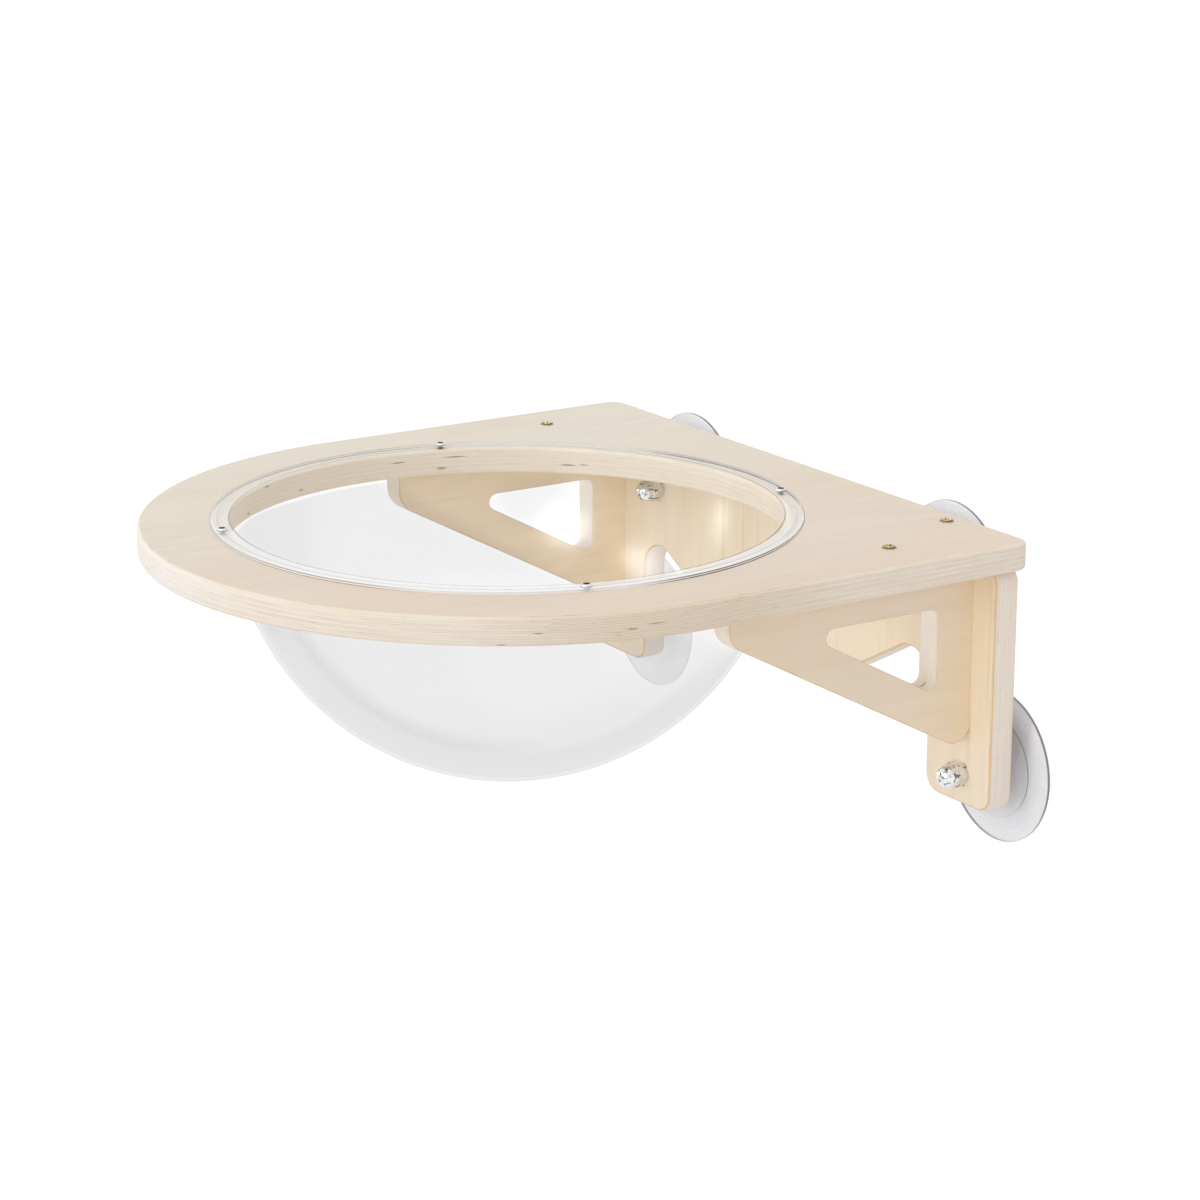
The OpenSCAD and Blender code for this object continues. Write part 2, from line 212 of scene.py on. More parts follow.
def ply_edge(name, layer, start, seed, glue_line, pale, knots=(), wear_and_shadow=None):
    """The sawn edge of plywood: plies in turn lengthwise and crosswise, so that each looks smooth
    from one side and porous and darker from the other, with thin glue lines between and a few
    knots. glue_line says how orange the line beside each face is, and pale is (share, colour), a
    paler tone over all of it. worn is (x, y, z, reach), the middle of a stretch whose plies are
    darker and more torn. The board, which has one, also gets a painted sheen that makes it paler
    at its front left."""
    wood = Finish(name)
    place, facing = wood.place(), wood.facing()
    plane = [axis for axis in range(3) if axis != layer]
    depth = (place[layer] - start) / PLY
    wander = wood.cloud(*[place[axis] * (13.0 if axis in plane else 0.0) for axis in range(3)])
    plies = depth * PLIES + (wander - 0.5) * 0.3
    ply = plies.floor()
    inside = (plies.fract() - 0.5).size() * 2.0
    odd = (ply * 0.5).fract() * 2.0
    lengthwise, crosswise = facing[plane[0]] * facing[plane[0]], facing[plane[1]] * facing[plane[1]]
    end_grain = (odd * lengthwise + (1.0 - odd) * crosswise).ramp(0.1, 0.9)
    run = [place[axis] * 24.0 + ply * 3.7 + seed for axis in plane]
    mottle = wood.cloud(run[0], run[1], ply * 5.3, 3.0, 0.6)
    length = [place[axis] * 60.0 + seed for axis in plane]
    fibre = wood.cloud(length[0], length[1], plies * 5.0, 3.0, 0.65)
    slit = wood.cloud(length[0] * 1.7, length[1] * 1.7, plies * 2.3, 2.0, 0.7)
    pores = wood.cloud(place[0] * 2600.0, place[1] * 2600.0, place[2] * 2600.0, 1.0)
    smooth_tone = wood.blend(mottle.ramp(0.3, 0.7), srgb(245, 236, 224), srgb(241, 228, 208))
    porous_tone = wood.blend(mottle.ramp(0.35, 0.65), srgb(241, 227, 209), srgb(233, 215, 191))
    colour = wood.blend(end_grain * 0.85, smooth_tone, porous_tone)
    colour = wood.blend(pale[0], colour, pale[1])
    rough = 0.0
    if wear_and_shadow:
        # Painted sheen: the board's edge is paler toward its front left.
        pale_sheen = place[1].ramp(-0.30, -0.37) * place[0].ramp(0.08, -0.02)
        colour = wood.blend(pale_sheen * 0.5, colour, srgb(247, 244, 243))
        rough = wood.length(*[place[axis] - wear_and_shadow[axis] for axis in range(3)]).ramp(wear_and_shadow[3], wear_and_shadow[3] * 0.25)
        colour = wood.blend(rough * 0.7, colour, srgb(232, 214, 191))
    glue = inside.ramp(0.80, 0.98)
    line = fibre.ramp(0.36, 0.66)
    colour = wood.blend(glue * (0.10 + line * 0.46 + rough * 0.3), colour, srgb(190, 162, 128))
    outer = (depth - 0.5).size()
    first_glue = outer.ramp(0.440, 0.458) * outer.ramp(0.498, 0.486)
    colour = wood.blend(first_glue * glue_line, colour, srgb(230, 190, 120))
    torn = slit.ramp(0.64, 0.74) * (0.22 + rough * 0.5 + end_grain * 0.12)
    colour = wood.blend(torn, colour, srgb(158, 122, 88))
    marks = []
    for *middle, half_length, half_height in knots:
        reach = [half_height if axis == layer else half_length for axis in range(3)]
        offset = [(place[axis] - middle[axis]) / reach[axis] for axis in range(3)]
        marks.append(wood.length(*offset).ramp(1.3, 0.3))
    if marks:
        dark = functools.reduce(Wire.most, marks)
        colour = wood.blend(dark * (0.3 + fibre * 0.8), colour, srgb(132, 90, 62))
    shade = 1.05 - fibre * 0.10 - pores.ramp(0.6, 0.8) * 0.05 * end_grain
    return wood.surface(wood.add("BsdfPrincipled", None, {
        "Base Color": wood.tint(colour, shade), "Roughness": 0.62 + fibre * 0.12, "IOR": 1.45,
        "Specular IOR Level": 0.25, "Normal": wood.bump(fibre * 0.7 - glue * 0.3, 0.0002, 0.35)}))


def grid_quads(rows, columns, wrap_rows=False, wrap_columns=False):
    """Quads of a grid of points numbered row by row; a wrapped side joins its last line to its first."""
    i = np.arange(rows if wrap_rows else rows - 1)[:, None]
    j = np.arange(columns if wrap_columns else columns - 1)[None, :]
    next_i, next_j = (i + 1) % rows, (j + 1) % columns
    return np.stack([i * columns + j, i * columns + next_j, next_i * columns + next_j,
                     next_i * columns + j], -1).reshape(-1, 4)


def pole_fans(rows, columns):
    """Triangles between a grid's first and last lines and two pole points numbered after it."""
    first, count = np.arange(columns), rows * columns
    last = first + count - columns
    return np.concatenate([np.stack([np.full(columns, count), np.roll(first, -1), first], 1),
                           np.stack([np.full(columns, count + 1), last, np.roll(last, -1)], 1)])


def build_piece(name, points, parts, body, replaced):
    """A mesh object from points and from parts, each (faces, material, smooth). A closed shell whose
    faces sum to a negative volume, by the divergence rule over face fans, is turned right side out."""
    faces, materials, smooth, wanted = [], [], [], []
    for part_faces, material, is_smooth in parts:
        if material not in wanted:
            wanted.append(material)
        faces += np.asarray(part_faces).tolist()
        materials += [wanted.index(material)] * len(part_faces)
        smooth += [is_smooth] * len(part_faces)
    volume = 0.0
    for count in (3, 4):
        chosen = np.array([face for face in faces if len(face) == count])
        for k in range(1, count - 1):
            if len(chosen):
                a, b, c = points[chosen[:, 0]], points[chosen[:, k]], points[chosen[:, k + 1]]
                volume += np.einsum("ij,ij->", a, np.cross(b, c))
    if volume < 0:
        faces = [face[::-1] for face in faces]
    mesh = bpy.data.meshes.new(name)
    mesh.from_pydata(np.asarray(points, float).tolist(), [], faces)
    mesh.polygons.foreach_set("material_index", np.array(materials, np.int32))
    mesh.polygons.foreach_set("use_smooth", np.array(smooth, bool))
    for material in wanted:
        mesh.materials.append(material)
    mesh.update()
    piece = bpy.data.objects.new(name, mesh)
    bpy.context.scene.collection.objects.link(piece)
    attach(piece, body)
    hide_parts(*replaced)


def eased_ring(thickness, radius, steps=5):
    """How far in from the outline, and how deep, each line of a rounded plywood edge lies: a quarter
    turn over one arris, straight down the edge, and a quarter turn over the other."""
    turn = np.linspace(0, math.pi / 2, steps)
    inset, depth = radius * (1 - np.sin(turn)), radius * (1 - np.cos(turn))
    return (np.concatenate([inset, inset[::-1]]), np.concatenate([depth, thickness - depth[::-1]]))


def board_outline(angles):
    """Points and outward normals of the D, seen from the hole's centre at the given angles: the half
    circle in front, the straight sides and back, and a quarter circle at each back corner."""
    x, y = np.cos(angles), np.sin(angles)
    back = BOARD_BACK - BOARD_CENTRE[1]
    points, normals = BOARD_HALF * np.stack([x, y], 1), np.stack([x, y], 1)
    rear = y > 0
    reach = np.minimum(BOARD_HALF / np.maximum(np.abs(x), 1e-9), back / np.maximum(np.abs(y), 1e-9))
    straight = reach[:, None] * np.stack([x, y], 1)
    side_on = BOARD_HALF / np.maximum(np.abs(x), 1e-9) < back / np.maximum(np.abs(y), 1e-9)
    flat = np.where(side_on[:, None], np.stack([np.sign(x), 0 * x], 1), np.stack([0 * x, 1 + 0 * x], 1))
    points[rear], normals[rear] = straight[rear], flat[rear]
    centre = np.array([BOARD_HALF - BACK_CORNER, back - BACK_CORNER])
    mirrored = np.stack([np.abs(points[:, 0]), points[:, 1]], 1)
    corner = rear & (mirrored > centre).all(1)
    ray = np.stack([np.abs(x), y], 1)[corner]
    along = ray @ centre
    hit = along + np.sqrt(along ** 2 - centre @ centre + BACK_CORNER ** 2)
    point = ray * hit[:, None]
    normal = (point - centre) / BACK_CORNER
    turn = np.sign(x[corner])[:, None] * np.array([[1, 0]]) + np.array([[0, 1]])
    points[corner], normals[corner] = point * turn, normal * turn
    return points, normals


CORNER_SPAN = 0.065
corner_angle = math.atan2(BOARD_BACK - BOARD_CENTRE[1], BOARD_HALF)
corner_turn = np.linspace(corner_angle - CORNER_SPAN, corner_angle + CORNER_SPAN, 25)
around = np.unique(np.concatenate([
    np.linspace(math.pi, 2 * math.pi, 181), np.linspace(0, math.pi, 91), corner_turn,
    math.pi - corner_turn]).round(9) % round(2 * math.pi, 9))
outline, outward = board_outline(around)
inward = np.stack([np.cos(around), np.sin(around)], 1)
inset, depth = eased_ring(PLY, EASED)
rows = [np.column_stack([outline - outward * i + BOARD_CENTRE, np.full(len(around), BOARD_TOP - d)])
        for i, d in zip(inset, depth)]
rows += [np.column_stack([inward * (HOLE_R + i) + BOARD_CENTRE, np.full(len(around), BOARD_TOP - d)])
         for i, d in zip(inset[::-1], depth[::-1])]
lines, columns = len(rows), len(around)
quads = grid_quads(lines, columns, True, True).reshape(lines, columns, 4)
half = lines // 2
# Each knot: where its middle is, then half its length along the edge and half its height.
board_knots = [
    (-0.1455, -0.1661, 0.0751, 0.0032, 0.0009), (-0.143, -0.1584, 0.0815, 0.007, 0.0005),
    (-0.1509, -0.1921, 0.0806, 0.005, 0.0005), (-0.1075, -0.1026, 0.0764, 0.005, 0.0006),
    (-0.1005, -0.096, 0.077, 0.003, 0.0004), (-0.130, -0.2887, 0.0842, 0.003, 0.0005),
    (-0.1435, -0.2601, 0.0754, 0.002, 0.0006), (-0.1165, -0.3077, 0.0742, 0.002, 0.0006),
    (0.1777, -0.3018, 0.0778, 0.003, 0.0004), (0.1943, -0.2574, 0.0771, 0.003, 0.0005),
    (0.1684, -0.3179, 0.0722, 0.003, 0.0004), (0.200, -0.2453, 0.0788, 0.006, 0.0004)]
worn_stretch = (0.200, -0.235, 0.078, 0.12)
board_face = veneer("veneer_board", 1, 0, 2.0, srgb(229, 211, 193), srgb(229, 221, 206), (0, 0.17, -0.20),
                    screws=[(*spot, TOP_SCREW_SHADOW_R) for spot in TOP_SCREWS.values()])
board_edge = ply_edge("edge_board", 2, BOARD_UNDER, 1.0, 0.2, (0.15, srgb(250, 243, 236)),
                      board_knots, worn_stretch)
# Painted light: the hole's edge is a paler copy of the board's edge, lighter against the shade inside the
# hole.
hole_edge = ply_edge("edge_hole", 2, BOARD_UNDER, 1.0, 0.2, (0.6, srgb(254, 240, 220)), board_knots)
build_piece("board", np.concatenate(rows), [
    (quads[:half - 1].reshape(-1, 4), board_edge, True), (quads[half - 1], board_face, False),
    (quads[half:-1].reshape(-1, 4), hole_edge, True), (quads[-1], board_face, False)],
    "perch_frame", ["platform_board"])

# The bowl: one sheet of clear acrylic, heated and blown into the round with its flat flange left
# at the mouth. It drops through the board's hole and hangs by the flange.

BOWL_SHEET, BOWL_LIP, FLANGE_R = 0.002, 0.0015, 0.161
BOWL_NECK, BOWL_DEPTH = 0.151, 0.145
RIM_R, BEDDED, NECK_BEND_R = 0.0004, 0.00012, 0.0009
LIP_TOP_R, FAINT_LINE_R, BRIGHT_RINGS = 0.1504, 0.1568, (0.1519, 0.1601)
CAMERA_SIDE = (0.838, -0.546)


def arc(centre, radius, start, end, steps):
    """Points of a circle about a centre, from one angle in degrees to another."""
    turn = np.radians(np.linspace(start, end, steps))
    return np.asarray(centre) + radius * np.stack([np.cos(turn), np.sin(turn)], 1)


def turned(profile, segments, thread=None, recess=None):
    """Points and faces of a profile of (radius, height) turned about +Z. Both its ends lie on the
    axis and close with a fan. thread is (low, high, pitch, depth): a V groove whose depth follows
    the turn and the height, pitch by pitch. recess is (count, arm, width, depth): the first lines
    sink by a cross whose arms fall off smoothly."""
    profile = np.asarray(profile, float)
    turn = np.linspace(0, 2 * math.pi, segments, endpoint=False)
    radius = np.repeat(profile[1:-1, :1], segments, 1)
    height = np.repeat(profile[1:-1, 1:], segments, 1)
    if thread:
        low, high, pitch, groove = thread
        wave = np.abs(((height / pitch - turn / (2 * math.pi)) % 1) * 2 - 1)
        held = np.clip((height - low) / pitch, 0, 1) * np.clip((high - height) / pitch, 0, 1)
        radius = radius - groove * np.clip(wave * 1.25 - 0.1, 0, 1) * held
    x, y = radius * np.cos(turn), radius * np.sin(turn)
    sink = 0.0
    if recess:
        count, arm, width, sink = recess

        def bar(a, b):
            return (np.clip((arm / 2 - np.abs(a)) / (arm * 0.16), 0, 1)
                    * np.clip((width * 0.75 - np.abs(b)) / (width * 0.42), 0, 1))

        height[:count] -= sink * np.maximum(bar(x, y), bar(y, x))[:count]
    points = np.concatenate([np.stack([x, y, height], -1).reshape(-1, 3),
                             [[0, 0, profile[0, 1] - sink], [0, 0, profile[-1, 1]]]])
    rows = len(profile) - 2
    return points, grid_quads(rows, segments, False, True), pole_fans(rows, segments)


bowl_ball = (BOWL_NECK ** 2 + BOWL_DEPTH ** 2) / (2 * BOWL_DEPTH)
ball_height = bowl_ball - BOWL_DEPTH
inner_ball = bowl_ball - BOWL_SHEET
inner_top = math.degrees(math.asin((BOWL_SHEET - BOWL_LIP - ball_height) / inner_ball))
lip_x = inner_ball * math.cos(math.radians(inner_top)) + BOWL_LIP
outer_top = math.degrees(math.asin(-ball_height / bowl_ball))
bowl_profile = np.concatenate([
    [[0, ball_height - inner_ball]], arc((0, ball_height), inner_ball, -89.4, inner_top, 80)[:-1],
    arc((lip_x, BOWL_SHEET - BOWL_LIP), BOWL_LIP, 180, 90, 9),
    [[0.5 * (lip_x + FLANGE_R), BOWL_SHEET]],
    arc((FLANGE_R - RIM_R, BOWL_SHEET - RIM_R), RIM_R, 90, 0, 5),
    arc((FLANGE_R - RIM_R, RIM_R + BEDDED), RIM_R, 0, -90, 5),
    [[0.5 * (BOWL_NECK + FLANGE_R), BEDDED]],
    arc((BOWL_NECK + NECK_BEND_R, BEDDED - NECK_BEND_R), NECK_BEND_R, 90, 178, 5),
    arc((0, ball_height), bowl_ball, outer_top - 0.4, -89.4, 80), [[0, -BOWL_DEPTH]]])
bowl_points, bowl_quads, bowl_fans = turned(bowl_profile, segments=256)
bowl_points += [*BOARD_CENTRE, BOARD_TOP]


def seen_directly(finish):
    """1 for the rays that look at a thing or mirror it, and 0 for those that only light others."""
    looks = [finish.add("LightPath", None, None, name)
             for name in ("Is Camera Ray", "Is Glossy Ray", "Is Transmission Ray")]
    return looks[0].most(looks[1]).most(looks[2])


def see_through(finish, *colour):
    """A shader that lets light straight through, tinted by a colour."""
    return finish.add("BsdfTransparent", None, {"Color": (*colour, 1.0)})


def shared(finish, share, one, other):
    """Two shaders, mixed by a share from 0 to 1."""
    return finish.add("MixShader", None, {0: share, 1: one, 2: other})


def clear_sheet():
    """Clear acrylic as a thin sheet: what lies behind shows straight through, tinted. The tint is
    painted shade where it is deeper: on the far wall, in a crescent at the left that stands for a
    dark reflection, and where the outer face turns edge on. It is painted light where it is
    lighter: high on the far wall, at the neck and on the near right shoulder, so that the wood
    behind shows brighter. A share of the room is mirrored, small face on, that grows as the fifth
    power of how edge on the sheet is. The flange is milky, whiter on the near side as a painted
    sheen, with fine rings, a painted highlight line inside each of its edges, a painted dark line
    where it bends down, a faint dark line out beyond its middle and a cut edge whose dark line is
    a painted shadow, darkest at the right. front is the level distance from the axis toward the
    camera, and across the one to the camera's right."""
    sheet = Finish("clear_acrylic")
    x, y, z = sheet.place()
    from_centre = y - BOARD_CENTRE[1]
    across = from_centre * CAMERA_SIDE[0] - x * CAMERA_SIDE[1]
    front = x * CAMERA_SIDE[0] + from_centre * CAMERA_SIDE[1]
    radius = sheet.length(x - BOARD_CENTRE[0], from_centre, 0.0)
    from_ball = sheet.length(x - BOARD_CENTRE[0], from_centre, z - BOARD_TOP - ball_height)
    above = z - BOARD_TOP
    facing = sheet.add("LayerWeight", None, {"Blend": 0.5}, "Facing")
    rings = sheet.cloud(radius * 2600.0, 0.0, 0.0, 2.0, 0.6)
    haze = sheet.cloud(x * 40.0, y * 40.0, z * 40.0)

    # Painted shade: the tint deepens on the far wall, in a crescent at the left that stands for a dark
    # reflection, and where the sheet turns edge on.
    far_wall = front.ramp(0.02, -0.01) * z.ramp(0.0, 0.025)
    outer_face = from_ball.ramp(bowl_ball - 0.0012, bowl_ball - 0.0006)
    crescent = facing.ramp(0.45, 0.55) * facing.ramp(0.61, 0.57) * across.ramp(0.05, -0.04)
    painted_shade = (far_wall * (0.62 + across.ramp(-0.100, -0.125) * 0.33)).most(crescent * 0.42)
    painted_shade = painted_shade.most(facing.ramp(0.56, 0.60) * 0.24).most(outer_face * facing.ramp(0.825, 0.86))
    # Painted light: the tint clears high on the far wall, less round a darker spot at the far left, at the
    # neck and on the near right shoulder, so the wood behind shows lighter.
    darker_spot = sheet.length((x + 0.110) / 0.028, (y + 0.120) / 0.028, (z - 0.056) / 0.014).ramp(1.3, 0.6)
    high = (z + y * 0.67 + 0.064).ramp(-0.008, 0.008) * front.ramp(0.0, -0.02) * (1.0 - darker_spot * 0.7)
    neck = (z - BOARD_UNDER - across.ramp(-0.12, -0.15) * 0.0025).ramp(-0.0006, 0.0004)
    shoulder = across.ramp(0.04, 0.08) * front.ramp(-0.01, 0.02) * z.ramp(0.005, 0.040)
    tint = shared(sheet, painted_shade, see_through(sheet, 0.941, 0.941, 0.942),
                  see_through(sheet, 0.880, 0.880, 0.882))
    tint = shared(sheet, high.most(neck).most(shoulder * 0.7), tint, see_through(sheet, 0.97, 0.97, 0.97))
    gloss = sheet.add("BsdfAnisotropic", None, {"Color": (1, 1, 1, 1), "Roughness": 0.2})
    clear = shared(sheet, facing ** 5.0 * 0.06 + 0.018, tint, gloss)

    on_top = z.ramp(BOARD_TOP - 0.001, BOARD_TOP)
    near = front.ramp(-0.06, 0.12)
    flange = radius.ramp(LIP_TOP_R + 0.0002, LIP_TOP_R + 0.0016) * on_top
    # Painted highlights: a bright line inside each edge of the flange; the flange is also whiter on the near
    # side as a painted sheen.
    bright = (radius - BRIGHT_RINGS[0]).size().ramp(0.0005, 0.0001)
    bright = bright.most((radius - BRIGHT_RINGS[1]).size().ramp(0.0005, 0.0001))
    milk = flange * (0.16 + near * 0.40 + rings.ramp(0.4, 0.7) * 0.12 + haze * 0.08).most(bright * 0.7)
    far_tone = sheet.blend(rings, srgb(238, 235, 230), srgb(230, 228, 223))
    milky = sheet.add("BsdfPrincipled", None, {
        "Base Color": sheet.blend(near, far_tone, srgb(250, 250, 249)),
        "Roughness": 0.3 + haze * 0.1, "IOR": 1.49})
    pale_sheen = shared(sheet, milk, clear, milky)

    # Painted shade: dark lines where the flange bends down and along its cut edge. The cut edge's line is a
    # painted shadow, stronger at the left and right and blackest at the right. A faint dark line lies out
    # beyond the middle.
    bend = (radius - LIP_TOP_R).size().ramp(0.0006, 0.0002) * on_top
    faint_line = (radius - FAINT_LINE_R).size().ramp(0.0010, 0.0004) * flange * near * 0.35
    at_right = across.ramp(0.06, 0.10)
    wear_and_shadow = across.ramp(-0.03, -0.08).most(at_right)
    low_line = (above - at_right * 0.0002).ramp(0.0008, 0.0004)
    high_line = (above - 0.0016).size().ramp(0.0004, 0.0002)
    cut = radius.ramp(FLANGE_R - 0.00045, FLANGE_R - 0.0002) * low_line.most(high_line * 0.8)
    shade_and_faint_lines = (cut * (wear_and_shadow * 0.8 + 0.2)).most(bend * (0.35 + near * 0.45)).most(faint_line)
    dark = sheet.add("BsdfPrincipled", None, {
        "Base Color": sheet.blend(at_right * haze.ramp(0.2, 0.5), srgb(146, 138, 126), srgb(66, 50, 40)),
        "Roughness": 0.35 + haze * 0.1, "IOR": 1.49})
    edged = shared(sheet, shade_and_faint_lines, pale_sheen, dark)
    return sheet.surface(shared(sheet, seen_directly(sheet), see_through(sheet, 1.0, 1.0, 1.0), edged))


acrylic = clear_sheet()
build_piece("bowl", bowl_points, [(bowl_quads, acrylic, True), (bowl_fans, acrylic, True)],
            "perch_frame", ["acrylic_bowl"])

# The bowl's four screws: small bright pan heads with a cross recess, driven through the flange
# into the board.

PAN_R, PAN_H, PAN_SHANK_R, PAN_LENGTH = 0.003, 0.0017, 0.0015, 0.012
SCREW_RING_R, FIRST_SCREW = 0.1565, -17


def bright_metal(name, tone, rough, grime_and_reflection, grime_and_reflection_tone):
    """Plated steel: a tone that mottles slightly, with faint polishing marks and darker patches,
    which on the bright pan heads are painted dark reflections.
    """
    metal = Finish(name)
    x, y, z = metal.place()
    mottle = metal.cloud(x * 700.0, y * 700.0, z * 700.0, 3.0)
    scuff = metal.cloud(x * 2600.0, y * 2600.0, z * 900.0)
    colour = metal.blend(mottle.ramp(0.35, 0.8) * grime_and_reflection, tone, grime_and_reflection_tone)
    return metal.surface(metal.add("BsdfPrincipled", None, {
        "Base Color": colour, "Metallic": 1.0, "Roughness": rough + scuff * 0.12,
        "Normal": metal.bump(scuff, 0.00002, 0.3)}))


def screw_profile(head_r, head_h, sink, shank_r, length, dome, thread_steps):
    """A screw's profile from the middle of its head, over the dome, down the rim, in along the
    countersink or the flat underside, down the shank and out to the point."""
    out = np.linspace(0, 1, 15)
    top = np.column_stack([head_r * 0.94 * out, head_h - dome * out ** 2.2])
    brow = head_h - dome
    rim_line = [[head_r * 0.985, brow - 0.00012], [head_r, brow - 0.0003], [head_r, max(brow - 0.0004, 0.0)]]
    under = [[shank_r, -sink]] if sink else [[head_r, 0.0], [head_r * 0.9, -0.00001], [shank_r, -0.00001]]
    along = np.linspace(-sink - 0.0004, shank_r * 2 - length, thread_steps)
    shank = np.column_stack([np.full(thread_steps, shank_r), along])
    tip = [[shank_r * 0.12, -length + 0.0002], [0, -length]]
    return np.concatenate([top, rim_line, under, shank, tip]), len(top)


def sunk(points, faces, reach, level):
    """Which faces lie within reach of the axis and below a level: the driver recess."""
    middle = points[faces].mean(1)
    return (np.hypot(middle[:, 0], middle[:, 1]) < reach) & (middle[:, 2] < level)


# Painted shadow: a dark metal for the screws' driver recesses and for the undersides of the wood screws'
# rims, where shade falls.
recess_dark = bright_metal("recess_shadow", srgb(74, 68, 60), 0.5, 0.6, srgb(40, 36, 32))
bright_zinc = bright_metal("bright_zinc", srgb(222, 223, 225), 0.16, 0.35, srgb(170, 168, 166))
pan_profile, pan_top = screw_profile(PAN_R, PAN_H, 0.0, PAN_SHANK_R, PAN_LENGTH, 0.0006, 60)
pan_points, pan_quads, pan_fans = turned(
    pan_profile, segments=72, thread=(-0.0115, -0.0005, 0.0011, 0.0004),
    recess=(pan_top - 1, 0.0036, 0.0010, 0.0011))
pan_sunk = sunk(pan_points, pan_quads, reach=0.0019, level=0.0025)
for index in range(4):
    angle = math.radians(FIRST_SCREW + 90 * index)
    spot = [SCREW_RING_R * math.cos(angle), BOARD_CENTRE[1] + SCREW_RING_R * math.sin(angle),
            BOARD_TOP + BOWL_SHEET]
    turn = np.array(Matrix.Rotation(angle + 0.6 * index, 3, "Z"))
    build_piece(f"pan_screw_{index + 1}", pan_points @ turn.T + np.array(spot),
                [(pan_quads[~pan_sunk], bright_zinc, True), (pan_quads[pan_sunk], recess_dark, True),
                 (pan_fans, recess_dark, True)],
                "perch_frame", [f"bowl_screw_{index + 1}"])

# The two brackets: plywood triangles with a triangular window, one under each side of the board.
# Their sawn edges are eased, and sanding has bared the first glue line as a thin orange edge.

BRACKET_X, BRACKET_LEN = 0.168, 0.159
PANEL_FRONT, PANEL_BACK = -0.027, -0.012
NOSE_H, HEEL_H = 0.0195, 0.10549
RAIL_TOP, RAIL_SLOPE, RAIL_HEEL, WINDOW_R = 0.021, 0.021, 0.024, 0.005
NOSE_R, HEEL_R, SHARP_R = 0.0148, 0.010, 0.0008
BEARING, BRACKET_EASE, WINDOW_EASE, SEATED_EASE = -0.0012, 0.45, 0.45, 0.15
WINDOW_BURN = [(0.168, -0.0543, 0.0064, 0.0034, 0.0006)]


def rounded_loop(corners, radii):
    """Points and outward normals of a loop with an arc at each corner: the arc's centre lies on the
    corner's bisector at radius over the sine of half its angle, and it runs between the two tangent
    points. The loop turns anticlockwise, and a corner that turns the other way is a hollow one."""
    corners = np.asarray(corners, float)
    points, normals = [], []
    for k, radius in enumerate(radii):
        before, here, after = corners[k - 1], corners[k], corners[(k + 1) % len(corners)]
        u, v = before - here, after - here
        u, v = u / np.linalg.norm(u), v / np.linalg.norm(v)
        half_angle = math.acos(np.clip(u @ v, -1, 1)) / 2
        bisector = (u + v) / np.linalg.norm(u + v)
        centre = here + bisector * radius / math.sin(half_angle)
        hollow = u[0] * v[1] - u[1] * v[0] > 0
        start = here + u * radius / math.tan(half_angle) - centre
        sweep = (math.pi - 2 * half_angle) * (-1 if hollow else 1)
        steps = max(4, int(abs(sweep) / math.radians(6)) + 2)
        turn = math.atan2(start[1], start[0]) + np.linspace(0, sweep, steps)
        ring = np.stack([np.cos(turn), np.sin(turn)], 1)
        points.append(centre + radius * ring)
        normals.append(-ring if hollow else ring)
    return np.concatenate(points), np.concatenate(normals)


def plate(loops, thickness, place, face, edge, eased, kept=lambda loop: np.ones(len(loop))):
    """A plywood plate between its outer loop and its holes. Every loop is swept over the eased edge's
    lines, and the two faces are filled in between the loops. place turns (a, b, depth) into points,
    kept scales the easing point by point, down to little where the plate bears on another, and edge
    lists the loops' materials, the last for all that are left."""
    inset, depth = eased_ring(thickness, eased)
    low = depth < thickness / 2
    points, parts, first, last, count = [], [], [], [], 0
    for number, (loop, normal) in enumerate(loops):
        ease = kept(loop)
        rings = [place(loop[:, 0] - normal[:, 0] * i * ease, loop[:, 1] - normal[:, 1] * i * ease,
                       d * ease if is_low else thickness - (thickness - d) * ease)
                 for i, d, is_low in zip(inset, depth, low)]
        points += rings
        wall = grid_quads(len(rings), len(loop), False, True) + count
        parts.append((wall, edge[min(number, len(edge) - 1)], True))
        border = loop - normal * (inset[0] * ease)[:, None]
        first.append((border, count))
        last.append((border, count + (len(rings) - 1) * len(loop)))
        count += len(rings) * len(loop)
    for side in (first, last):
        numbers = np.concatenate([np.arange(len(loop)) + start for loop, start in side])
        fill = tessellate_polygon([[Vector((a, b, 0)) for a, b in loop] for loop, _ in side])
        fill = numbers[np.array(fill)]
        parts.append((fill if side is last else fill[:, ::-1], face, False))
    return points, parts


def finish_plate(name, points, parts, node):
    """Gives a plate's two fills the turning sense of its edge. A side from point a to point b is
    numbered a times the count of points plus b: where more of a fill's sides run the same way as
    the edge's than against them, the fill is turned over."""
    points = np.concatenate(points)

    def sides(faces):
        return (faces * len(points) + np.roll(faces, -1, 1)).ravel()

    of_edge = np.concatenate([sides(faces) for faces, _, smooth in parts if smooth])
    turned_parts = []
    for faces, material, smooth in parts:
        same, against = np.isin(sides(faces), of_edge).sum(), np.isin(sides(faces[:, ::-1]), of_edge).sum()
        turned_parts.append((faces[:, ::-1] if not smooth and same > against else faces, material, smooth))
    build_piece(name, points, turned_parts, "perch_frame", [node])


rise = (HEEL_H - NOSE_H) / BRACKET_LEN
lift = RAIL_SLOPE * math.sqrt(1 + rise ** 2)
bracket_loop = rounded_loop([(-BRACKET_LEN, 0), (-BRACKET_LEN, -NOSE_H), (0, -HEEL_H), (0, 0)],
                            [SHARP_R, NOSE_R, HEEL_R, SHARP_R])
window_loop, window_normal = rounded_loop(
    [((lift + RAIL_TOP - HEEL_H) / rise, -RAIL_TOP), (-RAIL_HEEL, lift - HEEL_H + rise * RAIL_HEEL),
     (-RAIL_HEEL, -RAIL_TOP)], [WINDOW_R] * 3)
